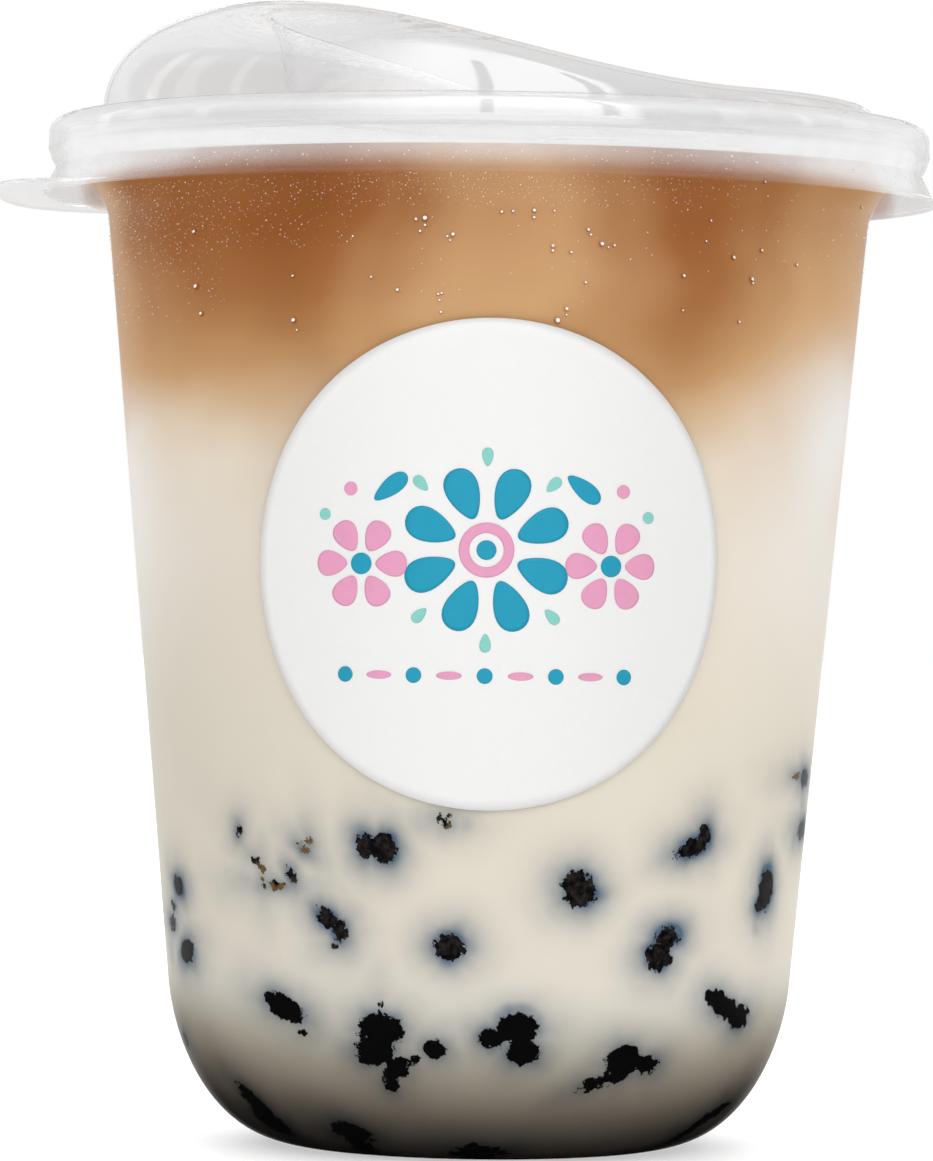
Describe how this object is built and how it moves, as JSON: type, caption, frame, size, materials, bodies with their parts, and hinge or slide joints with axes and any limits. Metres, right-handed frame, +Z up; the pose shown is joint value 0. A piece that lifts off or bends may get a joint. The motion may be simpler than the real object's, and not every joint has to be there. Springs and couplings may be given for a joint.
{
  "type": "spanish latte in a lidded cup",
  "caption": "Layered iced milk coffee with dark tapioca pearls in a clear tapered cup with a round lower corner, a sip lid with a thumb tab, and a round label.",
  "frame": {"origin": "centre of the flat base, on the surface it stands on", "axes": "+Z up along the cup's axis; -Y is the front with the label; -X is the lid's drinking side with the thumb tab"},
  "size_m": [0.1008, 0.096, 0.1209],
  "materials": {
    "clear_cup": "clear thin polypropylene, smooth and glossy",
    "clear_lid": "clear thin polypropylene, a little milky, with a fogged skirt and fine scratches",
    "milk": "opaque warm white milk, darker towards the base",
    "coffee": "milky brown coffee, uneven, fading into the milk",
    "label": "smooth coated white paper"
  },
  "bodies": {
    "root": {"cup": "clear_cup", "lid": "clear_lid", "milk_layer": "milk", "coffee_layer": "coffee", "label": "label"}
  },
  "joints": []
}
